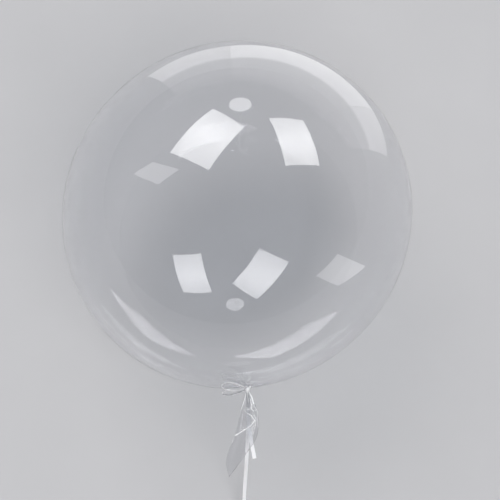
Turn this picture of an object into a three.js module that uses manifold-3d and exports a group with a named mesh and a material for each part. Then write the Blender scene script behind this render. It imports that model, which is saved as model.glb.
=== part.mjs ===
// A clear film bubble balloon lying on its side, its neck tied off with one length of flat ribbon.
// Millimetres, +Z up. The origin is the middle of the flat spot that the bubble rests on.
// The crown points along +Y and the tied neck along -Y.

import * as THREE from 'three';
import { mergeVertices } from 'three/addons/utils/BufferGeometryUtils.js';
import Module from 'manifold-3d';

const wasm = await Module();
wasm.setup();

// Bubble
const bubbleRadius = 240;
const outOfRound = 0.016; // share of the radius gained on the long axis and lost across it
const longAxisTurn = 36; // degrees from +X towards +Y
const flatSpotRadius = 30;

// Neck, where the film is gathered into the tie
const gatherRadius = 42; // where the film starts to draw in
const neckSink = 2; // how far the tie pulls the film in
const neckRise = 5; // how far the gathered neck stands out again
const neckRadius = 2;
const pleatCount = 12;
const pleatHeight = 1.4;
const pleatCrestRadius = 12; // the pleats are full height this far from the neck's axis
const neckFlute = 0.24; // how far each pleat stands out on the neck itself

// Film tail beyond the tie, a flattened tube cut off on a slant
const tailLength = 110;
const tailWidth = 30;
const tailThickness = 1.2;
const tailDroop = 34; // how far its end hangs below the neck
const tailFold = 2.5;

// Ribbon
const ribbonWidth = 5;
const ribbonThickness = 0.3;
const ribbonClearance = 0.3; // between the ribbon and what it touches
const wrapWidth = 4;
const wrapLayers = 3;
const knotWidth = 6;
const knotHeight = 4;
const loopOpening = 8;
const loops = [ // degrees up from level, about the loop's own length, and aside
  { length: 42, lift: 48, roll: 0, aside: -3 },
  { length: 32, lift: 24, roll: 48, aside: 6 },
];
const spurLength = 6;
const spurTurn = 32; // degrees from +X towards the bubble

// Coil of the long end, wound on its edge
const coilTurns = 6;
const coilPitch = 1.9;
const coilMeanRadius = 28;
const coilSlack = 0.3; // between the outer and inner turns and the coil's outline
const coilMiddle = new THREE.Vector2(-51, -458);

// How finely the curved shapes are cut into facets
const aroundSteps = 72;
const bubbleSteps = 22;
const gatherSteps = 9;
const tailSteps = 14;

const { degToRad, lerp, smoothstep } = THREE.MathUtils;

// The flat spot is a cut through the bubble, so the middle stands a little less than a radius up.
const centreHeight = Math.sqrt(bubbleRadius ** 2 - flatSpotRadius ** 2);

// Distance from the middle of the bubble to its film along a unit direction.
function filmReach(direction) {
  const turn = degToRad(longAxisTurn);
  const along = direction.x * Math.cos(turn) + direction.y * Math.sin(turn);
  const across = direction.y * Math.cos(turn) - direction.x * Math.sin(turn);
  return bubbleRadius * (1 + outOfRound * (along ** 2 - across ** 2));
}

// The bubble itself, by the angle from the neck's axis and the angle round that axis.
function bubblePoint(polar, around) {
  const direction = new THREE.Vector3(
    Math.sin(polar) * Math.sin(around),
    -Math.cos(polar),
    Math.sin(polar) * Math.cos(around),
  );
  return direction.clone().multiplyScalar(filmReach(direction));
}

// The pole that the neck grows from, and the middle of the tie beyond it.
const poleReach = filmReach(new THREE.Vector3(0, -1, 0));
const wrapStart = poleReach - neckSink + neckRise - ribbonClearance;
const tieReach = wrapStart + wrapWidth / 2;

// The gathered film round the pole, by its distance from the neck's axis.
function gatherPoint(radius, around) {
  const point = bubblePoint(Math.asin(radius / bubbleRadius), around);
  const ripple = Math.cos(pleatCount * around);
  const fade = 1 - smoothstep(radius, pleatCrestRadius, gatherRadius);
  const drawnIn = neckSink * (1 - radius / gatherRadius) ** 2;
  const drawnOut = neckRise * (neckRadius / radius) ** 2;
  const pleat = pleatHeight * fade * Math.min(1, radius / pleatCrestRadius) * ripple;
  const fluted = 1 + (neckFlute * fade * ripple) / radius;
  point.x *= fluted;
  point.z *= fluted;
  point.y += drawnIn - drawnOut - pleat;
  return point;
}

// The fluted neck under the ribbon.
function neckPoint(reach, around) {
  const radius = neckRadius + neckFlute * Math.cos(pleatCount * around);
  return new THREE.Vector3(radius * Math.sin(around), -reach, radius * Math.cos(around));
}

// The tail's two edges, as shares of its width and length, from the tie to the slanted cut.
const tailEdges = [
  [[-0.07, 0.02], [-0.13, 0.08], [-0.33, 0.25], [-0.6, 0.5], [-1.07, 0.8], [-1.0, 1.0]],
  [[0.07, 0.02], [0.19, 0.1], [0.38, 0.27], [0.42, 0.43], [0.24, 0.6], [-0.25, 0.77]],
].map((shares) => new THREE.SplineCurve(
  shares.map(([across, along]) => new THREE.Vector2(across * tailWidth, along * tailLength)),
));

// How far the tail hangs below the neck at a distance beyond the tie.
function tailHang(beyond) {
  return tailDroop * (beyond / tailLength) ** 2;
}

// The tail, by the share of its length and the angle round its flattened section.
function tailPoint(share, around) {
  const left = tailEdges[0].getPoint(share);
  const right = tailEdges[1].getPoint(share);
  const across = Math.sin(around);
  const middle = left.clone().lerp(right, (across + 1) / 2);
  const thickness = lerp(2 * neckRadius, tailThickness, 1 - (1 - share) ** 6);
  const fold = tailFold * Math.sin(Math.PI * share) * Math.sin(1.8 * Math.PI * across);
  const height = (thickness / 2) * Math.cos(around) + fold - tailHang(middle.y);
  return new THREE.Vector3(middle.x, -tieReach - middle.y, height);
}

// The rings of the film's outer shape in order, each a function of the angle round the axis.
function filmRings() {
  const rings = [() => bubblePoint(Math.PI, 0)];
  const gatherPolar = Math.asin(gatherRadius / bubbleRadius);
  for (let step = 1; step <= bubbleSteps; step += 1) {
    const polar = lerp(Math.PI, gatherPolar, step / bubbleSteps);
    rings.push((around) => bubblePoint(polar, around));
  }
  for (let step = 1; step <= gatherSteps; step += 1) {
    const radius = gatherRadius * (neckRadius / gatherRadius) ** (step / gatherSteps);
    rings.push((around) => gatherPoint(radius, around));
  }
  rings.push((around) => neckPoint(tieReach, around));
  for (let step = 0; step <= tailSteps; step += 1) {
    rings.push((around) => tailPoint(step / tailSteps, around));
  }
  const cutMiddle = tailPoint(1, 0).add(tailPoint(1, Math.PI)).multiplyScalar(0.5);
  rings.push(() => cutMiddle);
  return rings;
}

// A closed skin over rings of points. The lathe gives the faces and the rings give the places.
function skinOver(rings) {
  const last = rings.length - 1;
  const profile = rings.map((ring, index) => {
    const radius = index === 0 || index === last ? 0 : 1;
    return new THREE.Vector2(radius, last - index);
  });
  const skin = new THREE.LatheGeometry(profile.reverse(), aroundSteps);
  const places = skin.attributes.position;
  for (let index = 0; index < places.count; index += 1) {
    const ring = rings[last - (index % rings.length)];
    const column = Math.floor(index / rings.length) % aroundSteps;
    const point = ring((2 * Math.PI * column) / aroundSteps);
    places.setXYZ(index, point.x, point.y, point.z);
  }
  return skin;
}

// Turns a closed geometry into a solid for cutting and joining.
function toSolid(geometry) {
  const bare = geometry.clone();
  bare.deleteAttribute('normal');
  bare.deleteAttribute('uv');
  const merged = mergeVertices(bare, 1e-4);
  const index = merged.index.array;
  const corners = [];
  for (let first = 0; first < index.length; first += 3) {
    const [a, b, c] = index.slice(first, first + 3);
    if (a !== b && b !== c && c !== a) {
      corners.push(a, b, c);
    }
  }
  return new wasm.Manifold(new wasm.Mesh({
    numProp: 3,
    vertProperties: new Float32Array(merged.attributes.position.array),
    triVerts: new Uint32Array(corners),
  }));
}

// Turns a solid back into a geometry.
function toGeometry(solid) {
  const mesh = solid.getMesh();
  const geometry = new THREE.BufferGeometry();
  geometry.setAttribute('position', new THREE.BufferAttribute(mesh.vertProperties, 3));
  geometry.setIndex(new THREE.BufferAttribute(mesh.triVerts, 1));
  geometry.computeVertexNormals();
  return geometry;
}

// The film: bubble, gathered neck and tail in one, cut flat where it rests.
function makeBubble() {
  const ground = new THREE.BoxGeometry(bubbleRadius, bubbleRadius, bubbleRadius);
  ground.translate(0, 0, -centreHeight - bubbleRadius / 2);
  return toGeometry(toSolid(skinOver(filmRings())).subtract(toSolid(ground)));
}

// A flat strip's section, its width along x, with its corners taken off.
function ribbonSection() {
  const halfWidth = ribbonWidth / 2;
  const half = ribbonThickness / 2;
  const corner = ribbonThickness / 4;
  return new THREE.Shape([
    [halfWidth - corner, -half], [halfWidth, -corner], [halfWidth, corner], [halfWidth - corner, half],
    [corner - halfWidth, half], [-halfWidth, corner], [-halfWidth, -corner], [corner - halfWidth, -half],
  ].map(([x, y]) => new THREE.Vector2(x, y)));
}

// A strip of ribbon swept along a smooth curve through points.
function ribbonAlong(points, steps) {
  return new THREE.ExtrudeGeometry(ribbonSection(), {
    extrudePath: new THREE.CatmullRomCurve3(points),
    steps,
  });
}

const wrapInner = neckRadius + neckFlute + ribbonClearance;
const wrapOuter = wrapInner + wrapLayers * ribbonThickness;
const knotMiddle = new THREE.Vector3(-knotWidth / 6, 0, wrapOuter + knotHeight / 6);

// The turns of ribbon round the neck, as one closed band.
function wrapSolid() {
  const half = wrapWidth / 2;
  const band = new THREE.LatheGeometry([
    [wrapInner, -half], [wrapOuter, -half], [wrapOuter, half], [wrapInner, half], [wrapInner, -half],
  ].map(([radius, height]) => new THREE.Vector2(radius, height)), 24);
  return toSolid(band);
}

// The knot on the camera's side of the neck, a small flattened lump.
function knotSolid() {
  const knot = new THREE.SphereGeometry(0.5, 14, 10);
  knot.scale(knotWidth, wrapWidth * 1.1, knotHeight);
  knot.translate(...knotMiddle);
  return toSolid(knot);
}

// One loop of the bow, which leaves the knot along -X.
function loopSolid({ length, lift, roll, aside }) {
  const outline = [
    [0.02, 0.12], [0.25, 0.32], [0.55, 0.5], [0.82, 0.46], [1, 0],
    [0.82, -0.46], [0.55, -0.5], [0.25, -0.32], [0.02, -0.12],
  ];
  const points = outline.map(([along, across]) => (
    new THREE.Vector3(-along * length, across * loopOpening, 0)
  ));
  const loop = ribbonAlong(points, 24);
  loop.rotateX(degToRad(roll));
  loop.rotateY(degToRad(lift));
  loop.rotateZ(degToRad(aside));
  loop.translate(...knotMiddle);
  return toSolid(loop);
}

// The short spur of ribbon that stands out of the knot on the other side.
function spurSolid() {
  const spur = new THREE.BoxGeometry(spurLength, ribbonThickness, ribbonWidth * 0.6);
  spur.translate(spurLength / 2, 0, 0);
  spur.rotateZ(degToRad(spurTurn));
  spur.translate(0, 0, knotMiddle.z);
  return toSolid(spur);
}

// The tie: the turns, the knot, two loops and the spur are one knotted stretch of ribbon.
function makeBow() {
  const neckSpace = new THREE.CylinderGeometry(wrapInner, wrapInner, 4 * wrapWidth, 24);
  let bow = wrapSolid().add(knotSolid()).add(spurSolid());
  for (const loop of loops) {
    bow = bow.add(loopSolid(loop));
  }
  const geometry = toGeometry(bow.subtract(toSolid(neckSpace)));
  geometry.translate(0, -tieReach, 0);
  return geometry;
}

// A point of the ribbon: sideways, beyond the tie, and below the neck's axis.
const ribbonPoint = ([x, beyond, below]) => new THREE.Vector3(x, -tieReach - beyond, -below);

// Where both ends leave the turns, one over the other on the underside of the neck.
const exitBeyond = wrapWidth / 2 + ribbonClearance;
const shortExitBelow = wrapInner + ribbonThickness / 2;
const longExitBelow = shortExitBelow + ribbonThickness + ribbonClearance;

// The short end stands out under the film tail.
const shortRoute = [
  [0.8, exitBeyond, shortExitBelow], [0.8, 8, 4.2], [0.6, 16, 6.4], [0.3, 25, 8.9], [0.1, 35, 12],
  [-0.1, 46, 15.6], [0.9, 58, 19.8], [2.5, 70, 24.3], [4.1, 80, 28.2], [5.2, 88, 31.5],
].map(ribbonPoint);

// The long end falls to the surface and runs to its coil.
const longRoute = [
  [0.9, exitBeyond, longExitBelow], [0.6, 8, 5.8], [0.3, 16, 9.8], [-0.2, 26, 15.6],
  [-0.7, 37, 23.2], [-1.3, 48, 32.6], [-2.4, 59, 44.6], [-3.5, 69, 59], [-4.6, 78, 76],
  [-5.6, 86, 95], [-6.6, 93, 115], [-7.7, 100, 136], [-8.8, 107, 156], [-9.9, 115, 176],
  [-11.2, 125, 195], [-12.7, 137, 211], [-14.3, 151, 223], [-15.6, 167, 231],
  [-16.5, 183, 234.6], [-17.1, 197, 235.5],
].map(ribbonPoint);

// The outline of the coil, a ring as high as the ribbon is wide.
function makeCoil() {
  const halfBundle = (coilTurns * coilPitch) / 2 + coilSlack;
  const inner = coilMeanRadius - halfBundle;
  const outer = coilMeanRadius + halfBundle;
  const ring = new THREE.LatheGeometry([
    [inner, 0], [outer, 0], [outer, ribbonWidth], [inner, ribbonWidth], [inner, 0],
  ].map(([radius, height]) => new THREE.Vector2(radius, height)), 40);
  ring.rotateX(Math.PI / 2);
  ring.translate(coilMiddle.x, coilMiddle.y, ribbonWidth);
  return ring;
}

const film = new THREE.MeshStandardMaterial({
  color: 0xf4f6f8,
  roughness: 0.04,
  metalness: 0,
  transparent: true,
  opacity: 0.2,
});
const ribbon = new THREE.MeshStandardMaterial({ color: 0xe9eaee, roughness: 0.3, metalness: 0 });

// Adds one named sub-part to a group.
function addPart(group, name, geometry, material) {
  const part = new THREE.Mesh(geometry, material);
  part.name = name;
  group.add(part);
}

const balloon = new THREE.Group();
const raised = new THREE.Group();
raised.position.z = centreHeight;
balloon.add(raised);

addPart(raised, 'bubble', makeBubble(), film);
addPart(raised, 'ribbon_bow', makeBow(), ribbon);
addPart(raised, 'ribbon_short_end', ribbonAlong(shortRoute, 12), ribbon);
addPart(raised, 'ribbon_long_end', ribbonAlong(longRoute, 34), ribbon);
addPart(balloon, 'ribbon_coil', makeCoil(), ribbon);

export default balloon;
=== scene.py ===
"""Looks of a clear bubble balloon that lies on its side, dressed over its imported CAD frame.

Lengths are in metres and angles in degrees. +Z is up, the tied neck points along -Y, and the origin
is the middle of the flat spot that the balloon rests on.
"""

import logging
import math
from collections.abc import Sequence
from dataclasses import dataclass, field
from enum import Enum
from typing import Any

import bpy
import numpy as np
from mathutils import Matrix, Vector, noise


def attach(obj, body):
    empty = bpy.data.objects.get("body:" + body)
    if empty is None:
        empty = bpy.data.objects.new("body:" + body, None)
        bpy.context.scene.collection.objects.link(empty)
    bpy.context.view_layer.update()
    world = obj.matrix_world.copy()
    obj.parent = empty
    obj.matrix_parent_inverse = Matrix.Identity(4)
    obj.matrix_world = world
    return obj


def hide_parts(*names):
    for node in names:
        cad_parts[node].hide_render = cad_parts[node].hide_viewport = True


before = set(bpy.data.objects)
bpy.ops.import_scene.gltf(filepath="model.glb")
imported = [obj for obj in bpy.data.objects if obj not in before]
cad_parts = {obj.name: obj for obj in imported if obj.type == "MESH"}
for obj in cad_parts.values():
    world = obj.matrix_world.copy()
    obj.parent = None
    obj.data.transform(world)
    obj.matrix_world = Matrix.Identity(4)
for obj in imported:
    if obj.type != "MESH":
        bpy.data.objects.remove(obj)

MM = 0.001
log = logging.getLogger("balloon")


def linear(hex_colour: str) -> tuple[float, float, float, float]:
    """Turns an sRGB hex colour into linear red, green, blue and a full alpha.

    Args:
        hex_colour: Six hex digits after a hash.

    Returns:
        The four linear values.
    """
    shares = [int(hex_colour[start:start + 2], 16) / 255 for start in (1, 3, 5)]
    red, green, blue = (c / 12.92 if c <= 0.04045 else ((c + 0.055) / 1.055) ** 2.4 for c in shares)
    return red, green, blue, 1.0


def add_node(
    tree: bpy.types.NodeTree,
    kind: str,
    settings: dict[str, Any] | None = None,
    inputs: dict[str | int, Any] | None = None,
) -> bpy.types.Node:
    """Adds a node to a tree with its settings, input values and links.

    Args:
        tree: The shader or geometry tree.
        kind: Blender's name for the node type.
        settings: Properties of the node by name.
        inputs: Values, or other nodes' output sockets, by the input's name or number.

    Returns:
        The new node.
    """
    node = tree.nodes.new(kind)
    for name, value in (settings or {}).items():
        setattr(node, name, value)
    for name, value in (inputs or {}).items():
        if isinstance(value, bpy.types.NodeSocket):
            tree.links.new(value, node.inputs[name])
        else:
            node.inputs[name].default_value = value
    return node


def line_through(points: np.ndarray, shares: np.ndarray, spacing_power: float) -> np.ndarray:
    """Runs a smooth Catmull-Rom line through points.

    Args:
        points: The points in order, one to a row.
        shares: Where to read the line, from 0 at the first point to 1 at the last.
        spacing_power: 0 gives every stretch the same weight, and 0.5 weighs it by its length's root.

    Returns:
        One row for each share.
    """
    before = 2 * points[0] - points[1]
    after = 2 * points[-1] - points[-2]
    padded = np.vstack([before, points, after])
    place = np.clip(shares, 0, 1) * (len(points) - 1)
    first = np.minimum(place.astype(int), len(points) - 2)
    local = (place - first)[:, None]
    p0, p1, p2, p3 = (padded[first + step] for step in range(4))
    gap0, gap1, gap2 = (
        np.linalg.norm(end - start, axis=1, keepdims=True) ** spacing_power
        for start, end in ((p0, p1), (p1, p2), (p2, p3))
    )
    slope1 = gap1 * ((p1 - p0) / gap0 - (p2 - p0) / (gap0 + gap1) + (p2 - p1) / gap1)
    slope2 = gap1 * ((p2 - p1) / gap1 - (p3 - p1) / (gap1 + gap2) + (p3 - p2) / gap2)
    square = 3 * (p2 - p1) - 2 * slope1 - slope2
    cube = 2 * (p1 - p2) + slope1 + slope2
    return p1 + slope1 * local + square * local**2 + cube * local**3


def smoothstep(value: np.ndarray | float, low: float, high: float) -> np.ndarray:
    """Rises smoothly from 0 at low to 1 at high."""
    share = np.clip((np.asarray(value, float) - low) / (high - low), 0, 1)
    return share * share * (3 - 2 * share)


def unit(vectors: np.ndarray) -> np.ndarray:
    """Scales each row to a length of 1."""
    return vectors / np.linalg.norm(vectors, axis=-1, keepdims=True)


def new_object(name: str, mesh: bpy.types.Mesh) -> bpy.types.Object:
    """Puts a mesh into the scene as an object at the origin.

    Args:
        name: The object's name.
        mesh: Its mesh, with its place in it.

    Returns:
        The new object.
    """
    made = bpy.data.objects.new(name, mesh)
    bpy.context.scene.collection.objects.link(made)
    return made


def empty_material(name: str) -> bpy.types.Material:
    """Makes a material with an empty node tree.

    Args:
        name: What the material is, in a maker's words.

    Returns:
        The new material.
    """
    material = bpy.data.materials.new(name)
    material.use_nodes = True
    material.node_tree.nodes.clear()
    return material


def uneven(tree: bpy.types.NodeTree, size: float, height: float, detail: float) -> bpy.types.NodeSocket:
    """Makes a surface slightly uneven in a cloudy pattern that stays with the object.

    Args:
        tree: The material's tree.
        size: Width of one cloud.
        height: How far the clouds stand up.
        detail: How many times the pattern is repeated at half the size.

    Returns:
        The bent surface direction.
    """
    place = add_node(tree, "ShaderNodeTexCoord").outputs["Object"]
    clouds = add_node(
        tree, "ShaderNodeTexNoise", inputs={"Vector": place, "Scale": 1 / size, "Detail": detail}
    )
    return add_node(
        tree, "ShaderNodeBump", inputs={"Height": clouds.outputs["Fac"], "Distance": height}
    ).outputs["Normal"]


@dataclass(frozen=True)
class FilmFinish:
    """Blown polyurethane film: glass-clear and mirror-glossy, so lamps stand in it as crisp panes."""

    colour: str = "#FBFBFC"
    ior: float = 1.55
    roughness: float = 0.0
    # Blown film is a little uneven over a hand's width, which bends the edges of what it mirrors.
    ripple_size: float = 90 * MM
    ripple_height: float = 0.05 * MM
    shade_passed: str = "#FAFBFC"
    # Each face mirrors all light that only grazes it, and this sets how late that starts.
    grazing_power: float = 5.0

    def build(self) -> bpy.types.Material:
        """Makes the clear material.

        Returns:
            The material of the bubble, the neck and the clear film of the tail.
        """
        material = empty_material("blown_clear_film")
        tree = material.node_tree
        film = add_node(
            tree,
            "ShaderNodeBsdfPrincipled",
            inputs={
                "Base Color": linear(self.colour),
                "Roughness": self.roughness,
                "IOR": self.ior,
                "Transmission Weight": 1.0,
                "Normal": uneven(tree, self.ripple_size, self.ripple_height, 1.0),
            },
        )
        # Lamp light goes straight through the film, less what each face mirrors away.
        slant = add_node(tree, "ShaderNodeLayerWeight", inputs={"Blend": 0.5})
        steep = add_node(
            tree,
            "ShaderNodeMath",
            {"operation": "POWER"},
            {0: slant.outputs["Facing"], 1: self.grazing_power},
        )
        head_on = ((self.ior - 1) / (self.ior + 1)) ** 2
        mirrored = add_node(
            tree,
            "ShaderNodeMath",
            {"operation": "MULTIPLY_ADD"},
            {0: steep.outputs[0], 1: 1 - head_on, 2: head_on},
        )
        passed = add_node(
            tree,
            "ShaderNodeMix",
            {"data_type": "RGBA"},
            {
                "Factor": mirrored.outputs[0],
                6: linear(self.shade_passed),
                7: (0.0, 0.0, 0.0, 1.0),
            },
        )
        straight = add_node(tree, "ShaderNodeBsdfTransparent", inputs={"Color": passed.outputs[2]})
        ray = add_node(tree, "ShaderNodeLightPath")
        lamp_ray = add_node(
            tree,
            "ShaderNodeMath",
            {"operation": "MAXIMUM"},
            {0: ray.outputs["Is Shadow Ray"], 1: ray.outputs["Is Diffuse Ray"]},
        )
        surface = add_node(
            tree,
            "ShaderNodeMixShader",
            inputs={"Fac": lamp_ray.outputs[0], 1: film.outputs[0], 2: straight.outputs[0]},
        )
        add_node(tree, "ShaderNodeOutputMaterial", inputs={"Surface": surface.outputs[0]})
        return material


@dataclass(frozen=True)
class PaintedGlintFilmFinish:
    """The same film painted milky and satin along the tail's folds, clear again beside them: a painted
    highlight for the folds' glints.
    """

    # Milky colour of the painted highlight on the folds.
    colour: str = "#F8F9FA"
    ior: float = 1.55
    roughness: float = 0.3
    let_through: float = 0.12
    fleck_size: float = 1.5 * MM
    fleck_height: float = 0.06 * MM

    def build(self) -> bpy.types.Material:
        """Makes the material of the painted fold highlights, which fades to clear film beside them.

        Returns:
            The material of the faces that touch a fold with a painted highlight.
        """
        material = empty_material("film_with_painted_fold_glints")
        tree = material.node_tree
        painted_glint = add_node(
            tree, "ShaderNodeAttribute", {"attribute_type": "GEOMETRY", "attribute_name": "painted_glint"}
        )
        rough = add_node(
            tree,
            "ShaderNodeMath",
            {"operation": "MULTIPLY"},
            {0: painted_glint.outputs["Fac"], 1: self.roughness},
        )
        clear = add_node(
            tree,
            "ShaderNodeMath",
            {"operation": "MULTIPLY_ADD"},
            {0: painted_glint.outputs["Fac"], 1: self.let_through - 1, 2: 1.0},
        )
        surface = add_node(
            tree,
            "ShaderNodeBsdfPrincipled",
            inputs={
                "Base Color": linear(self.colour),
                "Roughness": rough.outputs[0],
                "IOR": self.ior,
                "Transmission Weight": clear.outputs[0],
                "Normal": uneven(tree, self.fleck_size, self.fleck_height, 2.0),
            },
        )
        add_node(tree, "ShaderNodeOutputMaterial", inputs={"Surface": surface.outputs[0]})
        return material


@dataclass(frozen=True)
class RibbonFinish:
    """Drawn polypropylene curling ribbon: milky and half see-through, with a satin shine in fine ribs."""

    colour: str = "#F7F7F9"
    roughness: float = 0.28
    ior: float = 1.49
    let_through: float = 0.12
    # The real ribs are about 0.3 mm apart, too fine to show, so they are drawn three times as coarse.
    rib_spacing: float = 0.9 * MM
    rib_height: float = 0.05 * MM
    width: float = 5 * MM

    def build(self) -> bpy.types.Material:
        """Makes the ribbon's material, with ribs that follow the strip's own map.

        Returns:
            The material of every length of ribbon.
        """
        material = empty_material("drawn_curling_ribbon")
        tree = material.node_tree
        strip = add_node(tree, "ShaderNodeUVMap", {"uv_map": "strip"})
        split = add_node(tree, "ShaderNodeSeparateXYZ", inputs={0: strip.outputs["UV"]})
        turns = 2 * math.pi * self.width / self.rib_spacing
        wave = add_node(
            tree, "ShaderNodeMath", {"operation": "MULTIPLY"}, {0: split.outputs["X"], 1: turns}
        )
        rib = add_node(tree, "ShaderNodeMath", {"operation": "SINE"}, {0: wave.outputs[0]})
        bump = add_node(
            tree,
            "ShaderNodeBump",
            inputs={"Height": rib.outputs[0], "Distance": self.rib_height, "Strength": 1.0},
        )
        surface = add_node(
            tree,
            "ShaderNodeBsdfPrincipled",
            inputs={
                "Base Color": linear(self.colour),
                "Roughness": self.roughness,
                "IOR": self.ior,
                "Transmission Weight": self.let_through,
                "Normal": bump.outputs["Normal"],
            },
        )
        add_node(tree, "ShaderNodeOutputMaterial", inputs={"Surface": surface.outputs[0]})
        return material


@dataclass(frozen=True)
class FloorFinish:
    """Matt painted board: pale and even, with the faint cloudiness of rolled paint."""

    light: str = "#BBBBBD"
    dark: str = "#B5B5B7"
    cloud_size: float = 180 * MM
    roughness: float = 0.75

    def build(self) -> bpy.types.Material:
        """Makes the floor's material.

        Returns:
            The material.
        """
        material = empty_material("matt_painted_board")
        tree = material.node_tree
        place = add_node(tree, "ShaderNodeTexCoord")
        clouds = add_node(
            tree,
            "ShaderNodeTexNoise",
            inputs={"Vector": place.outputs["Object"], "Scale": 1 / self.cloud_size, "Detail": 3.0},
        )
        colour = add_node(
            tree,
            "ShaderNodeMix",
            {"data_type": "RGBA"},
            {"Factor": clouds.outputs["Fac"], 6: linear(self.dark), 7: linear(self.light)},
        )
        surface = add_node(
            tree,
            "ShaderNodeBsdfPrincipled",
            inputs={
                "Base Color": colour.outputs[2],
                "Roughness": self.roughness,
                "Specular IOR Level": 0.0,
            },
        )
        add_node(tree, "ShaderNodeOutputMaterial", inputs={"Surface": surface.outputs[0]})
        return material


@dataclass
class Bubble:
    """The blown bubble and its gathered neck, in the frame of the bubble's middle."""

    radius: float = 240 * MM
    out_of_round: float = 0.016
    long_axis_turn: float = 36.0
    flat_spot_radius: float = 30 * MM
    contact_radius: float = 11 * MM
    contact_reach: float = 33 * MM
    contact_softness: float = 0.02 * MM
    gather_radius: float = 42 * MM
    neck_sink: float = 2 * MM
    neck_rise: float = 5 * MM
    neck_radius: float = 2 * MM
    pleat_count: int = 12
    pleat_height: float = 1.4 * MM
    pleat_crest_radius: float = 12 * MM
    neck_flute: float = 0.24 * MM
    ribbon_clearance: float = 0.3 * MM
    wrap_width: float = 4 * MM

    @property
    def centre_height(self) -> float:
        """Height of the bubble's middle over the surface."""
        return math.sqrt(self.radius**2 - self.flat_spot_radius**2)

    @property
    def tie_reach(self) -> float:
        """Distance from the bubble's middle to the middle of the tie."""
        pole = float(self.reach(np.array([0.0, -1.0, 0.0])))
        return pole - self.neck_sink + self.neck_rise - self.ribbon_clearance + self.wrap_width / 2

    def reach(self, direction: np.ndarray) -> np.ndarray:
        """Distance from the bubble's middle to its film.

        Args:
            direction: Directions from the middle, each 1 long.

        Returns:
            One distance for each direction.
        """
        turn = math.radians(self.long_axis_turn)
        x, y = direction[..., 0], direction[..., 1]
        along = x * math.cos(turn) + y * math.sin(turn)
        across = y * math.cos(turn) - x * math.sin(turn)
        return self.radius * (1 + self.out_of_round * (along**2 - across**2))

    def round_ring(self, polar: float, around: np.ndarray) -> np.ndarray:
        """A ring of the bubble's film.

        Args:
            polar: Angle from the neck's axis, in radians.
            around: Angles round that axis, in radians.

        Returns:
            One point for each angle round the axis.
        """
        direction = np.stack(
            [
                math.sin(polar) * np.sin(around),
                np.full_like(around, -math.cos(polar)),
                math.sin(polar) * np.cos(around),
            ],
            axis=1,
        )
        return direction * self.reach(direction)[:, None]

    def gathered_ring(self, radius: float, around: np.ndarray) -> np.ndarray:
        """A ring of the pleated film round the neck.

        Args:
            radius: Distance from the neck's axis.
            around: Angles round that axis, in radians.

        Returns:
            One point for each angle round the axis.
        """
        ring = self.round_ring(math.asin(radius / self.radius), around)
        ripple = np.cos(self.pleat_count * around)
        fade = float(1 - smoothstep(radius, self.pleat_crest_radius, self.gather_radius))
        drawn_in = self.neck_sink * (1 - radius / self.gather_radius) ** 2
        drawn_out = self.neck_rise * (self.neck_radius / radius) ** 2
        crest = self.pleat_height * fade * min(1.0, radius / self.pleat_crest_radius)
        fluted = 1 + self.neck_flute * fade * ripple / radius
        ring[:, 0] *= fluted
        ring[:, 2] *= fluted
        ring[:, 1] += drawn_in - drawn_out - crest * ripple
        return ring

    def neck_ring(self, around: np.ndarray) -> np.ndarray:
        """The ring of the fluted neck at the middle of the tie.

        Args:
            around: Angles round the neck's axis, in radians.

        Returns:
            One point for each angle.
        """
        radius = self.neck_radius + self.neck_flute * np.cos(self.pleat_count * around)
        reach = np.full_like(around, -self.tie_reach)
        return np.stack([radius * np.sin(around), reach, radius * np.cos(around)], axis=1)

    def settle(self, points: np.ndarray) -> np.ndarray:
        """Lets the bubble sag onto a small round contact spot, with the rest of its underside round.

        Args:
            points: Points of the film, in the frame of the bubble's middle.

        Returns:
            The points in their settled places.
        """
        sagged = math.sqrt(self.centre_height**2 + self.contact_radius**2) / self.radius
        settled = points.copy()
        under = np.clip(-points[:, 2] / self.radius, 0, 1)
        settled[:, 2] *= 1 - (1 - sagged) * under
        height = settled[:, 2] + self.centre_height
        lifted = (height + np.sqrt(height**2 + self.contact_softness**2)) / 2
        near = np.hypot(points[:, 0], points[:, 1]) < self.contact_reach
        settled[:, 2] = np.where((height < self.flat_spot_radius) & near, lifted, height)
        settled[:, 2] -= self.centre_height
        return settled


@dataclass(frozen=True)
class Crease:
    """A fold line pressed into the tail: places as (sideways, beyond the tie) in millimetres.

    A fold with no glint width gets no painted highlight and stays clear.
    """

    places: tuple[tuple[float, float], ...]
    height: float
    half_width: float = 1.0 * MM
    # Half width of the milky band painted along the fold as its highlight.
    glint_half_width: float = 0.0

    def gap(self, across: np.ndarray, beyond: np.ndarray) -> np.ndarray:
        """Distance of places of the tail from the fold line.

        Args:
            across: How far each place is to the right of the neck's axis.
            beyond: How far it is beyond the tie.

        Returns:
            One distance for each place.
        """
        nearest = np.full(across.shape, np.inf)
        for (x0, y0), (x1, y1) in zip(self.places, self.places[1:]):
            start = np.array([x0, y0]) * MM
            run = np.array([x1 - x0, y1 - y0]) * MM
            share = ((across - start[0]) * run[0] + (beyond - start[1]) * run[1]) / (run @ run)
            share = np.clip(share, 0, 1)
            gap = np.hypot(across - start[0] - share * run[0], beyond - start[1] - share * run[1])
            nearest = np.minimum(nearest, gap)
        return nearest

    def lift(self, across: np.ndarray, beyond: np.ndarray) -> np.ndarray:
        """How far the fold lifts the film at places of the tail."""
        return self.height * np.exp(-((self.gap(across, beyond) / self.half_width) ** 2))


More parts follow.
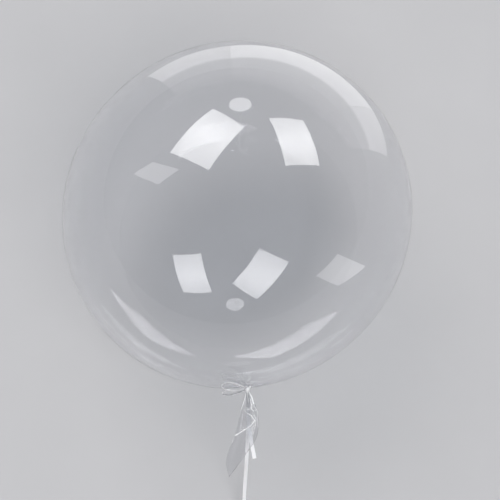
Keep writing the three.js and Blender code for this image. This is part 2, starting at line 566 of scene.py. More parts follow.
@dataclass
class Tail:
    """The loose tail of film beyond the tie: a flattened, crumpled tube cut off on a slant."""

    length: float = 110 * MM
    width: float = 30 * MM
    thickness: float = 1.2 * MM
    droop: float = 34 * MM
    fold: float = 2.5 * MM
    fold_half_waves: float = 1.8
    flattening_power: int = 6
    loose_after: float = 20 * MM
    left_edge: tuple[tuple[float, float], ...] = (
        (-0.07, 0.02), (-0.13, 0.08), (-0.33, 0.25), (-0.6, 0.5), (-1.07, 0.8), (-1.0, 1.0),
    )
    right_edge: tuple[tuple[float, float], ...] = (
        (0.07, 0.02), (0.23, 0.1), (0.4, 0.27), (0.43, 0.43), (0.24, 0.6), (-0.25, 0.77),
    )
    creases: tuple[Crease, ...] = (
        Crease(((3.2, 34.6), (7.9, 41.1), (3.6, 46.4), (1.4, 48.7)), 1.6 * MM, 1.0 * MM, 0.55 * MM),
        Crease(
            ((1.4, 48.7), (-5.8, 51.7), (-13.2, 56.2), (-20.4, 59.6), (-23.4, 67.3)),
            1.5 * MM, 1.0 * MM, 0.55 * MM,
        ),
        Crease(((-6.0, 26.6), (0.3, 32.9), (3.2, 34.6)), 1.2 * MM, 0.9 * MM, 0.3 * MM),
        Crease(((1.0, 0.6), (2.7, 4.0), (5.5, 10.0), (7.6, 19.0)), 0.8 * MM, 1.2 * MM, 1.2 * MM),
        Crease(((-3.0, 23.5), (1.5, 26.5), (6.5, 24.0)), 0.9 * MM, 0.8 * MM, 0.4 * MM),
        Crease(((9.0, 28.2), (11.6, 27.0), (11.8, 30.4)), 0.9 * MM, 0.8 * MM, 0.5 * MM),
        Crease(((0.2, 2.0), (0.4, 9.0), (1.2, 17.0)), 0.9 * MM, 0.9 * MM, 0.5 * MM),
        Crease(((4.5, 20.0), (9.0, 23.5), (10.8, 27.0)), 0.9 * MM, 0.8 * MM, 0.3 * MM),
        Crease(((7.5, 33.0), (9.8, 38.0), (8.4, 47.5), (6.2, 52.5)), 0.9 * MM, 0.8 * MM, 0.3 * MM),
        Crease(((3.6, 13.2), (4.7, 21.2), (3.7, 25.2), (7.1, 29.4)), 1.1 * MM, 0.9 * MM, 0.6 * MM),
        Crease(((-1.2, 3.0), (-3.0, 10.0), (-6.6, 20.1), (-9.2, 25.9)), 1.0 * MM, 0.9 * MM, 0.6 * MM),
        Crease(((-9.2, 25.9), (-12.1, 35.2), (-14.8, 43.4), (-18.6, 53.9)), 0.8 * MM, 0.8 * MM, 0.2 * MM),
        Crease(((10.6, 26.7), (12.4, 29.4), (11.9, 43.4), (12.0, 49.7)), 0.8 * MM, 0.8 * MM, 0.25 * MM),
    )
    crumple_height: float = 1.6 * MM
    crumple_size: float = 13 * MM
    crumple_octaves: int = 3
    crumple_stretch: float = 0.7
    seed_shift: float = 4.7
    sheet_shift: float = 9.1
    calm_start: float = 45 * MM
    calm_end: float = 70 * MM
    calm_share: float = 0.75

    def hang(self, beyond: np.ndarray) -> np.ndarray:
        """How far the tail hangs below the neck's axis at distances beyond the tie."""
        return self.droop * (beyond / self.length) ** 2

    def crumple(self, across: np.ndarray, beyond: np.ndarray, side: float) -> np.ndarray:
        """Small sharp-backed folds all over the tail, calmer towards its cut.

        Args:
            across: How far each place is to the right of the neck's axis.
            beyond: How far it is beyond the tie.
            side: 0 for the upper sheet and 1 for the lower one, whose folds are others.

        Returns:
            How far the folds stand out at each place.
        """
        folds = np.zeros(across.shape)
        for octave in range(self.crumple_octaves):
            scale = 2**octave / self.crumple_size
            shift = self.seed_shift * (octave + 1) + self.sheet_shift * side
            values = [
                noise.noise(Vector((x * scale, y * scale * self.crumple_stretch, shift)))
                for x, y in zip(across, beyond)
            ]
            folds += (0.5 - np.abs(np.array(values))) / 2**octave
        calm = 1 - self.calm_share * smoothstep(beyond, self.calm_start, self.calm_end)
        return self.crumple_height * calm * np.maximum(folds, 0)

    def ring(self, share: float, around: np.ndarray, bubble: Bubble) -> np.ndarray:
        """A ring of the tail's film.

        Args:
            share: Share of the tail's length, from the tie to the slanted cut.
            around: Angles round the flattened section, in radians.
            bubble: The bubble that the tail belongs to.

        Returns:
            One point for each angle round the section.
        """
        at = np.array([share])
        size = np.array([self.width, self.length])
        left = line_through(np.array(self.left_edge) * size, at, 0.0)[0]
        right = line_through(np.array(self.right_edge) * size, at, 0.0)[0]
        across = np.sin(around)
        middle = left + (right - left) * ((across[:, None] + 1) / 2)
        thickness = 2 * bubble.neck_radius
        thickness += (self.thickness - thickness) * (1 - (1 - share) ** self.flattening_power)
        fold = self.fold * math.sin(math.pi * share) * np.sin(self.fold_half_waves * math.pi * across)
        loose = smoothstep(middle[:, 1], 0, self.loose_after)
        upper = self.crumple(middle[:, 0], middle[:, 1], 0.0)
        lower = self.crumple(middle[:, 0], middle[:, 1], 1.0)
        side = (np.cos(around) + 1) / 2
        pressed = sum(crease.lift(middle[:, 0], middle[:, 1]) for crease in self.creases)
        shape = loose * (lower + (upper - lower) * side) + pressed * side
        height = thickness / 2 * np.cos(around) + fold + shape - self.hang(middle[:, 1])
        return np.stack([middle[:, 0], -bubble.tie_reach - middle[:, 1], height], axis=1)

    def painted_glint(self, across: np.ndarray, beyond: np.ndarray) -> np.ndarray:
        """How strongly the folds are painted milky as a highlight, at places of the tail.

        Args:
            across: How far each place is to the right of the neck's axis.
            beyond: How far it is beyond the tie.

        Returns:
            One share for each place, from 0, clear, to 1, milky.
        """
        amount = np.zeros(across.shape)
        for crease in self.creases:
            half_width = crease.glint_half_width
            if half_width > 0:
                gap = crease.gap(across, beyond)
                amount = np.maximum(amount, 1 - smoothstep(gap, 0.5 * half_width, 1.5 * half_width))
        return amount


@dataclass
class FilmBalloon:
    """The whole film: bubble, neck and tail in one, with a real wall and an open cut end."""

    bubble: Bubble = field(default_factory=Bubble)
    tail: Tail = field(default_factory=Tail)
    wall: float = 0.15 * MM
    columns: int = 168
    bubble_rings: int = 96
    gather_rings: int = 28
    tail_rings: int = 164
    even_share: float = 0.6
    crowding_power: int = 4

    def rings(self) -> np.ndarray:
        """The rings of the outer skin from the crown to the tail's cut, closer together near the tie.

        Returns:
            Their points, as rings by columns by 3.
        """
        around = self.around()
        bubble = self.bubble
        edge = math.asin(bubble.gather_radius / bubble.radius)
        polars = np.linspace(math.pi, edge, self.bubble_rings + 1)[1:]
        rings = [bubble.round_ring(polar, around) for polar in polars]
        shrink = bubble.neck_radius / bubble.gather_radius
        for step in range(1, self.gather_rings + 1):
            radius = bubble.gather_radius * shrink ** (step / self.gather_rings)
            rings.append(bubble.gathered_ring(radius, around))
        rings.append(bubble.neck_ring(around))
        steps = np.linspace(0, 1, self.tail_rings + 1)
        shares = self.even_share * steps + (1 - self.even_share) * steps**self.crowding_power
        rings += [self.tail.ring(share, around, bubble) for share in shares]
        return np.stack([bubble.settle(ring) for ring in rings])

    def inward(self, rings: np.ndarray) -> np.ndarray:
        """The inner skin, one wall thickness inside the outer rings.

        Args:
            rings: The outer rings, as rings by columns by 3.

        Returns:
            The inner rings, in the same order.
        """
        along = np.gradient(rings, axis=0)
        around = np.roll(rings, -1, axis=1) - np.roll(rings, 1, axis=1)
        normals = unit(np.cross(around, along) + 1e-12)
        middle = rings.mean(axis=1, keepdims=True)
        outward = np.sign(np.sum(normals * (rings - middle), axis=(1, 2)))
        return rings - normals * self.wall * outward[:, None, None]

    def paint_fold_glints(self, mesh: bpy.types.Mesh) -> None:
        """Paints the highlights along the tail's folds, and gives the faces that touch one the second
        material.

        Args:
            mesh: The film's mesh, whose first points are the outer skin's.
        """
        points = np.empty(len(mesh.vertices) * 3)
        mesh.vertices.foreach_get("co", points)
        outer = points.reshape(-1, 3)[:self.outer_count]
        beyond = -outer[:, 1] - self.bubble.tie_reach
        # The painted highlight goes on the upper sheet only, the side that faces the lamps.
        facing_up = np.tile(np.cos(self.around()), self.outer_count // self.columns) > 0
        amount = np.zeros(len(mesh.vertices))
        amount[:self.outer_count] = self.tail.painted_glint(outer[:, 0], beyond) * (facing_up & (beyond > 0))
        painted_glint = mesh.attributes.new("painted_glint", "FLOAT", "POINT")
        painted_glint.data.foreach_set("value", amount)
        corners = np.empty(len(mesh.loops), dtype=np.int32)
        mesh.loops.foreach_get("vertex_index", corners)
        first_corners = np.empty(len(mesh.polygons), dtype=np.int32)
        mesh.polygons.foreach_get("loop_start", first_corners)
        glinting_faces = np.maximum.reduceat(amount[corners], first_corners) > 0
        mesh.polygons.foreach_set("material_index", glinting_faces.astype(np.int32))

    def around(self) -> np.ndarray:
        """The angles of a ring's points."""
        return np.linspace(0, 2 * math.pi, self.columns, endpoint=False)

    @property
    def outer_count(self) -> int:
        """How many points the outer skin has."""
        return (self.bubble_rings + self.gather_rings + self.tail_rings + 2) * self.columns

    def build(self, finish: bpy.types.Material, glint_paint: bpy.types.Material) -> bpy.types.Object:
        """Makes the film as one closed skin with an outer and an inner face.

        Args:
            finish: The film's material.
            glint_paint: The material of the highlights painted along the tail's folds.

        Returns:
            The film's object.
        """
        outer = self.rings()
        inner = self.inward(outer)
        count, columns = outer.shape[:2]
        crown = self.bubble.round_ring(math.pi, np.zeros(1))
        crown_inner = crown - np.array([[0, self.wall, 0]])
        points = np.vstack([outer.reshape(-1, 3), inner.reshape(-1, 3), crown, crown_inner])
        points[:, 2] += self.bubble.centre_height
        inside = count * columns
        faces: list[tuple[int, ...]] = []
        for column in range(columns):
            after = (column + 1) % columns
            faces.append((2 * inside, column, after))
            faces.append((2 * inside + 1, inside + after, inside + column))
            for ring in range(count - 1):
                a, b = ring * columns + column, ring * columns + after
                c, d = b + columns, a + columns
                faces.append((a, d, c, b))
                faces.append((inside + a, inside + b, inside + c, inside + d))
            last = (count - 1) * columns
            faces.append((last + column, inside + last + column, inside + last + after, last + after))
        mesh = bpy.data.meshes.new("film_balloon")
        mesh.from_pydata(points.tolist(), [], faces)
        mesh.polygons.foreach_set("use_smooth", [True] * len(mesh.polygons))
        mesh.materials.append(finish)
        mesh.materials.append(glint_paint)
        self.paint_fold_glints(mesh)
        made = new_object("film_balloon", mesh)
        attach(made, "root")
        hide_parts("bubble")
        log.info("film_balloon: %d faces", len(mesh.polygons))
        return made


@dataclass
class Guide:
    """A line that a strip of ribbon follows, with the way its width points and how far it is pinched."""

    points: np.ndarray
    width_way: np.ndarray
    pinch: np.ndarray

    @classmethod
    def even(cls, points: np.ndarray, width_way: Sequence[float], pinch: float = 1.0) -> "Guide":
        """A guide whose strip keeps one way and one width."""
        return cls(points, np.tile(width_way, (len(points), 1)), np.full(len(points), pinch))


@dataclass
class RibbonStrip:
    """The flat strip of ribbon and the node tree that lays it along guides."""

    width: float = 5 * MM
    thickness: float = 0.14 * MM
    camber: float = 0.12 * MM
    cuts_across: int = 6
    sharp_angle: float = 40.0
    tree: bpy.types.NodeTree | None = None

    def build_tree(self) -> bpy.types.NodeTree:
        """Makes the tree that sweeps a cambered strip along guide lines.

        Returns:
            The node tree, with named inputs for the strip's sizes and its material.
        """
        tree = bpy.data.node_groups.new("ribbon_strip", "GeometryNodeTree")
        face = tree.interface
        face.new_socket("Geometry", in_out="INPUT", socket_type="NodeSocketGeometry")
        for name in ("Width", "Thickness", "Camber"):
            face.new_socket(name, in_out="INPUT", socket_type="NodeSocketFloat")
        face.new_socket("Cuts across", in_out="INPUT", socket_type="NodeSocketInt")
        face.new_socket("Material", in_out="INPUT", socket_type="NodeSocketMaterial")
        face.new_socket("Geometry", in_out="OUTPUT", socket_type="NodeSocketGeometry")
        given = add_node(tree, "NodeGroupInput").outputs
        curve = add_node(tree, "GeometryNodeMeshToCurve", inputs={"Mesh": given["Geometry"]})
        read = {
            name: add_node(
                tree, "GeometryNodeInputNamedAttribute", {"data_type": kind}, {"Name": name}
            ).outputs[0]
            for name, kind in (
                ("width_way", "FLOAT_VECTOR"), ("pinch", "FLOAT"), ("across", "FLOAT"), ("run", "FLOAT"),
            )
        }
        turned = add_node(
            tree,
            "GeometryNodeSetCurveNormal",
            {"mode": "FREE"},
            {"Curve": curve.outputs[0], "Normal": read["width_way"]},
        )
        sized = add_node(
            tree,
            "GeometryNodeSetCurveRadius",
            inputs={"Curve": turned.outputs[0], "Radius": read["pinch"]},
        )
        run = add_node(tree, "GeometryNodeSplineParameter")
        marked = add_node(
            tree,
            "GeometryNodeStoreNamedAttribute",
            {"data_type": "FLOAT", "domain": "POINT"},
            {"Geometry": sized.outputs[0], "Name": "run", "Value": run.outputs["Length"]},
        )
        section = add_node(
            tree,
            "GeometryNodeCurvePrimitiveQuadrilateral",
            {"mode": "RECTANGLE"},
            {"Width": given["Width"], "Height": given["Thickness"]},
        )
        fine = add_node(
            tree,
            "GeometryNodeSubdivideCurve",
            inputs={"Curve": section.outputs[0], "Cuts": given["Cuts across"]},
        )
        place = add_node(tree, "GeometryNodeInputPosition")
        sides = add_node(tree, "ShaderNodeSeparateXYZ", inputs={0: place.outputs[0]})
        share = add_node(
            tree, "ShaderNodeMath", {"operation": "DIVIDE"}, {0: sides.outputs["X"], 1: given["Width"]}
        )
        square = add_node(tree, "ShaderNodeMath", {"operation": "POWER"}, {0: share.outputs[0], 1: 2.0})
        bend = add_node(
            tree, "ShaderNodeMath", {"operation": "MULTIPLY"}, {0: square.outputs[0], 1: given["Camber"]}
        )
        # The share is 0.5 at the strip's edges, so four times its square is 1 there.
        dip = add_node(tree, "ShaderNodeMath", {"operation": "MULTIPLY"}, {0: bend.outputs[0], 1: -4.0})
        offset = add_node(tree, "ShaderNodeCombineXYZ", inputs={"Y": dip.outputs[0]})
        across = add_node(
            tree,
            "GeometryNodeStoreNamedAttribute",
            {"data_type": "FLOAT", "domain": "POINT"},
            {"Geometry": fine.outputs[0], "Name": "across", "Value": share.outputs[0]},
        )
        cambered = add_node(
            tree,
            "GeometryNodeSetPosition",
            inputs={"Geometry": across.outputs[0], "Offset": offset.outputs[0]},
        )
        swept = add_node(
            tree,
            "GeometryNodeCurveToMesh",
            inputs={
                "Curve": marked.outputs[0],
                "Profile Curve": cambered.outputs[0],
                "Scale": read["pinch"],
                "Fill Caps": True,
            },
        )
        pair = add_node(tree, "ShaderNodeCombineXYZ", inputs={"X": read["across"], "Y": read["run"]})
        mapped = add_node(
            tree,
            "GeometryNodeStoreNamedAttribute",
            {"data_type": "FLOAT2", "domain": "CORNER"},
            {"Geometry": swept.outputs[0], "Name": "strip", "Value": pair.outputs[0]},
        )
        real = add_node(tree, "GeometryNodeRealizeInstances", inputs={"Geometry": mapped.outputs[0]})
        dressed = add_node(
            tree,
            "GeometryNodeSetMaterial",
            inputs={"Geometry": real.outputs[0], "Material": given["Material"]},
        )
        add_node(tree, "NodeGroupOutput", inputs={"Geometry": dressed.outputs[0]})
        return tree

    def lay(self, name: str, guides: list[Guide], finish: bpy.types.Material) -> bpy.types.Object:
        """Lays strips along guides and joins them in one plain mesh.

        Args:
            name: The piece's name.
            guides: The lines that the strips follow.
            finish: The ribbon's material.

        Returns:
            The piece, with its place in its mesh.
        """
        self.tree = self.tree or self.build_tree()
        mesh = bpy.data.meshes.new(name + "_guide")
        points = np.vstack([guide.points for guide in guides])
        edges: list[tuple[int, int]] = []
        start = 0
        for guide in guides:
            edges += [(start + step, start + step + 1) for step in range(len(guide.points) - 1)]
            start += len(guide.points)
        mesh.from_pydata(points.tolist(), edges, [])
        ways = mesh.attributes.new("width_way", "FLOAT_VECTOR", "POINT")
        ways.data.foreach_set("vector", np.vstack([guide.width_way for guide in guides]).ravel())
        pinches = mesh.attributes.new("pinch", "FLOAT", "POINT")
        pinches.data.foreach_set("value", np.concatenate([guide.pinch for guide in guides]))
        made = new_object(name, mesh)
        modifier = made.modifiers.new("strip", "NODES")
        modifier.node_group = self.tree
        given = {
            "Width": self.width,
            "Thickness": self.thickness,
            "Camber": self.camber,
            "Cuts across": self.cuts_across,
            "Material": finish,
        }
        for item in self.tree.interface.items_tree:
            if item.in_out == "INPUT" and item.name in given:
                modifier[item.identifier] = given[item.name]
        bpy.context.view_layer.update()
        ready = made.evaluated_get(bpy.context.evaluated_depsgraph_get())
        plain = bpy.data.meshes.new_from_object(ready)
        plain.name = name
        made.modifiers.remove(modifier)
        made.data = plain
        bpy.data.meshes.remove(mesh)
        for spare in ("width_way", "pinch", "across", "run"):
            if spare in plain.attributes:
                plain.attributes.remove(plain.attributes[spare])
        plain.polygons.foreach_set("use_smooth", [True] * len(plain.polygons))
        plain.set_sharp_from_angle(angle=math.radians(self.sharp_angle))
        return made


def length_of(points: np.ndarray) -> float:
    """Length of a line of points."""
    return float(np.linalg.norm(np.diff(points, axis=0), axis=1).sum())


@dataclass
class RibbonEnds:
    """The two free ends of the ribbon and the coil that the long one is wound in."""

    tie_reach: float
    centre_height: float
    strip: RibbonStrip
    short_steps: int = 60
    long_steps: int = 160
    coil_turns: int = 6
    coil_middle: tuple[float, float] = (-51 * MM, -458 * MM)
    coil_first_radius: float = 33.7 * MM
    coil_last_radius: float = 22.3 * MM
    coil_height: float = 2.55 * MM
    points_per_turn: int = 28
    twist_start: float = 150 * MM
    twist_end: float = 214 * MM

    def place(self, rows: list[tuple[float, float, float]]) -> np.ndarray:
        """Turns rows of (sideways, beyond the tie, below the neck) in millimetres into points."""
        x, beyond, below = (np.array(rows) * MM).T
        return np.stack([x, -self.tie_reach - beyond, self.centre_height - below], axis=1)

    def short_route(self) -> np.ndarray:
        """The short end, which stands out under the film tail.

        Returns:
            Its points from the knot to its square cut.
        """
        rows = [
            (0.8, 2.3, 2.69), (0.8, 8, 4.2), (0.6, 16, 6.4), (0.3, 25, 8.9), (0.1, 35, 12),
            (-0.1, 46, 15.6), (0.9, 58, 19.8), (2.5, 70, 24.3), (4.1, 80, 28.2), (5.2, 88, 31.5),
        ]
        return line_through(self.place(rows), np.linspace(0, 1, self.short_steps), 0.5)

    def long_route(self) -> np.ndarray:
        """The long end, which falls to the surface and runs to its coil.

        Returns:
            Its points from the knot to the coil.
        """
        rows = [
            (0.9, 2.3, 3.29), (0.6, 8, 5.8), (0.3, 16, 9.8), (-0.2, 26, 15.6), (-0.7, 37, 23.2),
            (-1.3, 48, 32.6), (-2.4, 59, 44.6), (-3.5, 69, 59), (-4.6, 78, 76), (-5.6, 86, 95),
            (-6.6, 93, 115), (-7.7, 100, 136), (-8.8, 107, 156), (-9.9, 115, 176), (-11.2, 125, 195),
            (-12.7, 137, 211), (-14.3, 151, 223), (-15.6, 167, 231), (-16.5, 183, 234.6),
            (-17.1, 197, 235.5),
        ]
        return line_through(self.place(rows), np.linspace(0, 1, self.long_steps), 0.5)

    def coil(self) -> np.ndarray:
        """The turns of the coil, one inside the other.

        Returns:
            Its points from the outside in.
        """
        count = self.coil_turns * self.points_per_turn
        share = np.linspace(0, 1, count + 1)
        angle = -2 * math.pi * self.coil_turns * share
        radius = self.coil_first_radius + (self.coil_last_radius - self.coil_first_radius) * share
        return np.stack(
            [
                self.coil_middle[0] + radius * np.cos(angle),
                self.coil_middle[1] + radius * np.sin(angle),
                np.full_like(share, self.coil_height),
            ],
            axis=1,
        )

    def width_ways(self, points: np.ndarray) -> np.ndarray:
        """The way the width points: level at the neck, and upright where the ribbon stands on edge.

        Args:
            points: The long end's points, in order.

        Returns:
            One way for each point.
        """
        beyond = -points[:, 1] - self.tie_reach
        upright = smoothstep(beyond, self.twist_start, self.twist_end)
        passed = np.maximum.accumulate(upright)
        quarter = passed * math.pi / 2
        return np.stack([np.cos(quarter), np.zeros_like(quarter), np.sin(quarter)], axis=1)

    def square_to(self, points: np.ndarray, ways: np.ndarray) -> np.ndarray:
        """Makes the width square to the line it follows."""
        run = unit(np.gradient(points, axis=0))
        return unit(ways - run * np.sum(ways * run, axis=1, keepdims=True))

    def build(self, finish: bpy.types.Material) -> None:
        """Args:
            finish: The ribbon's material.
        """
        short = self.short_route()
        level = np.tile([1.0, 0.0, 0.0], (len(short), 1))
        guide = Guide(short, self.square_to(short, level), np.ones(len(short)))
        made = self.strip.lay("ribbon_short", [guide], finish)
        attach(made, "root")
        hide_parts("ribbon_short_end")
        log.info("ribbon_short: %.4f m", length_of(short))
        coil = self.coil()
        long = np.vstack([self.long_route(), coil[1:]])
        guide = Guide(long, self.square_to(long, self.width_ways(long)), np.ones(len(long)))
        made = self.strip.lay("ribbon_long", [guide], finish)
        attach(made, "root")
        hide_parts("ribbon_long_end", "ribbon_coil")
        log.info("ribbon_long: %.4f m", length_of(long))


@dataclass(frozen=True)
class Loop:
    """One loop of the bow: how far it reaches and arches up, its roll and turn, and its opening."""

    reach: float
    rise: float
    roll: float
    aside: float
    opening: float


@dataclass
class RibbonTie:
    """The turns round the neck, the knot, two loops and the spur."""

    tie_reach: float
    centre_height: float
    strip: RibbonStrip
    wrap_inner: float = 2.6 * MM
    wrap_outer: float = 3.3 * MM
    wrap_turns: float = 3.25
    wrap_wander: float = 0.5 * MM
    wander_start: float = 0.6
    wrap_pinch: float = 0.76
    knot_middle: tuple[float, float, float] = (-1 * MM, 0.0, 4.1 * MM)
    knot_turns: float = 1.4
    knot_first: float = -0.6 * MM
    knot_advance: float = 0.9 * MM
    knot_half_width: float = 2.5 * MM
    knot_half_height: float = 2.0 * MM
    knot_growth: float = 0.3 * MM
    knot_drop: float = 0.2 * MM
    knot_pinch: float = 0.7
    loops: tuple[Loop, ...] = (
        Loop(reach=32 * MM, rise=34 * MM, roll=0, aside=0, opening=10.3 * MM),
        Loop(reach=33 * MM, rise=14 * MM, roll=35, aside=11, opening=9 * MM),
    )
    loop_outline: tuple[tuple[float, float], ...] = (
        (0.02, 0.12), (0.25, 0.32), (0.55, 0.5), (0.82, 0.46), (1, 0),
        (0.82, -0.46), (0.55, -0.5), (0.25, -0.32), (0.02, -0.12),
    )
    pinch_at_knot: float = 0.55
    pinch_power: int = 6
    spur_length: float = 6 * MM
    spur_turn: float = 32
    spur_lean: float = 1.4
    spur_pinch: float = 0.6
    turn_steps: int = 60
    wrap_steps: int = 120
    loop_steps: int = 90
    spur_steps: int = 8

    def wrap(self) -> Guide:
        """The turns of ribbon wound round the neck.

        Returns:
            Their guide, in the frame of the tie's middle.
        """
        share = np.linspace(0, 1, self.wrap_steps)
        angle = 2 * math.pi * self.wrap_turns * share
        radius = self.wrap_inner + (self.wrap_outer - self.wrap_inner) * share
        wander = self.wrap_wander * np.sin(4 * math.pi * share + self.wander_start)
        points = np.stack([radius * np.sin(angle), wander, radius * np.cos(angle)], axis=1)
        return Guide.even(points, (0.0, 1.0, 0.0), self.wrap_pinch)

    def knot(self) -> Guide:
        """The turn of ribbon that crosses over the loops and pulls them tight.

        Returns:
            Its guide, in the frame of the tie's middle.
        """
        share = np.linspace(0, 1, self.turn_steps)
        angle = 2 * math.pi * self.knot_turns * share
        half_height = self.knot_half_height + self.knot_growth * share
        points = np.stack(
            [
                self.knot_first + self.knot_advance * share,
                self.knot_half_width * np.sin(angle),
                self.knot_middle[2] - self.knot_drop + half_height * np.cos(angle),
            ],
            axis=1,
        )
        return Guide.even(points, (1.0, 0.0, 0.0), self.knot_pinch)

    def loop(self, loop: Loop) -> Guide:
        """One loop, a strip that leaves the knot along -X, arches up and comes back to it.

        Args:
            loop: The loop's sizes.

        Returns:
            Its guide, in the frame of the tie's middle.
        """
        outline = line_through(np.array(self.loop_outline), np.linspace(0, 1, self.loop_steps), 0.5)
        along, across = outline[:, :1], outline[:, 1:]
        flat = np.zeros_like(along)
        middle = np.hstack([-along * loop.reach, flat, loop.rise * along * (2 - along)])
        up = unit(np.hstack([2 * loop.rise * (1 - along), flat, flat + loop.reach]))
        sideways = np.array([0.0, 1.0, 0.0])
        roll = math.radians(loop.roll)
        points = middle + across * loop.opening * (sideways * math.cos(roll) + up * math.sin(roll))
        way = up * math.cos(roll) - sideways * math.sin(roll)
        turn = np.array(Matrix.Rotation(math.radians(loop.aside), 3, "Z")).T
        share = np.linspace(-1, 1, self.loop_steps)
        pinch = 1 - (1 - self.pinch_at_knot) * np.abs(share) ** self.pinch_power
        return Guide(points @ turn + np.array(self.knot_middle), way @ turn, pinch)

    def spur(self) -> Guide:
        """The short spur of ribbon that stands out of the knot on the other side.

        Returns:
            Its guide, in the frame of the tie's middle.
        """
        turn = math.radians(self.spur_turn)
        way = np.array([math.cos(turn), math.sin(turn), 0.0])
        start = np.array([0, 0, self.knot_middle[2]])
        points = start + np.linspace(0, self.spur_length, self.spur_steps)[:, None] * way
        leant = unit(np.array([-math.sin(turn), math.cos(turn), self.spur_lean]))
        return Guide.even(points, leant, self.spur_pinch)

    def build(self, finish: bpy.types.Material) -> None:
        """Makes the tie in one piece.

        Args:
            finish: The ribbon's material.
        """
        guides = [self.wrap(), self.knot(), self.spur()]
        guides += [self.loop(loop) for loop in self.loops]
        for guide in guides:
            guide.points = guide.points + np.array([0, -self.tie_reach, self.centre_height])
        made = self.strip.lay("ribbon_tie", guides, finish)
        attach(made, "root")
        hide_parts("ribbon_bow")
        log.info("ribbon_tie: %d faces", len(made.data.polygons))


class LampShape(Enum):
    """Outlines that a soft lamp can have."""

    RECTANGLE = "RECTANGLE"
    ROUND = "ELLIPSE"


@dataclass(frozen=True)
class SoftBox:
    """A soft lamp: where its middle is, the ways its sides run, their lengths and its brightness.

    The film's outer face mirrors it at one brightness, and the faces behind that show it at another.
    An echo over 1 makes it stronger after a second reflection, so that faint ones show on pale ground,
    as far as the renderer's limit on indirect samples allows. A fade gives its strength along its
    other way, as (place, strength).
    """

    name: str
    middle: tuple[float, float, float]
    side_way: tuple[float, float, float]
    other_way: tuple[float, float, float]
    sizes: tuple[float, float]
    mirrored: float
    through_film: float = 0.0
    echo: float = 1.0
    shape: LampShape = LampShape.RECTANGLE
    fade: tuple[tuple[float, float], ...] = ((0.0, 1.0), (1.0, 1.0))
    step_behind: float = 0.01

    def add_fade(self, lamp: bpy.types.AreaLight) -> None:
        """Lets the lamp's strength change along its other way, and after a second reflection.

        Args:
            lamp: The lamp.
        """
        lamp.use_nodes = True
        tree = lamp.node_tree
        tree.nodes.clear()
        place = add_node(tree, "ShaderNodeNewGeometry")
        split = add_node(tree, "ShaderNodeSeparateXYZ", inputs={0: place.outputs["Parametric"]})
        ramp = add_node(tree, "ShaderNodeValToRGB", inputs={"Fac": split.outputs["Y"]})
        brightest = max(share for _, share in self.fade)
        stops = ramp.color_ramp.elements
        for _ in self.fade[2:]:
            stops.new(1.0)
        for stop, (at, share) in zip(stops, self.fade):
            stop.position = at
            stop.color = (share / brightest,) * 3 + (1.0,)
        path = add_node(tree, "ShaderNodeLightPath")
        strength = add_node(
            tree,
            "ShaderNodeMapRange",
            inputs={
                "Value": path.outputs["Glossy Depth"],
                "From Min": 1.0,
                "From Max": 2.0,
                "To Min": brightest,
                "To Max": brightest * self.echo,
            },
        )
        emission = add_node(
            tree,
            "ShaderNodeEmission",
            inputs={"Color": ramp.outputs["Color"], "Strength": strength.outputs[0]},
        )
        add_node(tree, "ShaderNodeOutputLight", inputs={"Surface": emission.outputs[0]})

    def add_lamp(self, name: str, brightness: float, through_film: bool) -> None:
        """Makes a lamp that faces along the cross product of its sides and lights no matt surface.

        Args:
            name: The lamp's name.
            brightness: How bright its face is.
            through_film: Whether rays that have passed a face of the film see it, or mirrored ones do.
        """
        lamp = bpy.data.lights.new(name, "AREA")
        lamp.shape = self.shape.value
        lamp.size, lamp.size_y = self.sizes
        lamp.energy = brightness * self.sizes[0] * self.sizes[1] * math.pi
        self.add_fade(lamp)
        made = bpy.data.objects.new(name, lamp)
        x = Vector(self.side_way).normalized()
        z = -x.cross(Vector(self.other_way)).normalized()
        turn = Matrix((x, z.cross(x), z)).transposed()
        # A ray meets only one of two lamps in the same place, so one stands a little behind the other.
        place = Vector(self.middle) + z * (self.step_behind if through_film else 0.0)
        made.matrix_world = Matrix.Translation(place) @ turn.to_4x4()
        made.visible_diffuse = False
        made.visible_glossy = not through_film
        made.visible_transmission = through_film
        bpy.context.scene.collection.objects.link(made)

    def build(self) -> None:
        """Makes the lamp as the outer face mirrors it, and as the faces behind show it."""
        self.add_lamp(self.name, self.mirrored, False)
        if self.through_film > 0:
            self.add_lamp(self.name + "_through_film", self.through_film, True)


@dataclass(frozen=True)
class BroadLight:
    """Even light from a wide patch of ceiling that lights matt surfaces and isn't mirrored."""

    name: str
    comes_from: tuple[float, float, float]
    strength: float
    spread: float = 40.0

    def build(self) -> None:
        """Makes the light."""
        lamp = bpy.data.lights.new(self.name, "SUN")
        lamp.energy = self.strength
        lamp.angle = math.radians(self.spread)
        made = bpy.data.objects.new(self.name, lamp)
        made.rotation_mode = "QUATERNION"
        made.rotation_quaternion = Vector(self.comes_from).to_track_quat("Z", "Y")
        made.visible_glossy = False
        made.visible_transmission = False
        bpy.context.scene.collection.objects.link(made)


# A softbox is brightest in its middle, and a reflector low down, where it shows as a band.
SOFTBOX_FADE = ((0.0, 0.66), (0.5, 0.98), (1.0, 0.7))
REFLECTOR_FADE = ((0.0, 0.8), (0.25, 1.15), (0.46, 1.6), (0.52, 0.6), (0.85, 0.55), (1.0, 0.2))


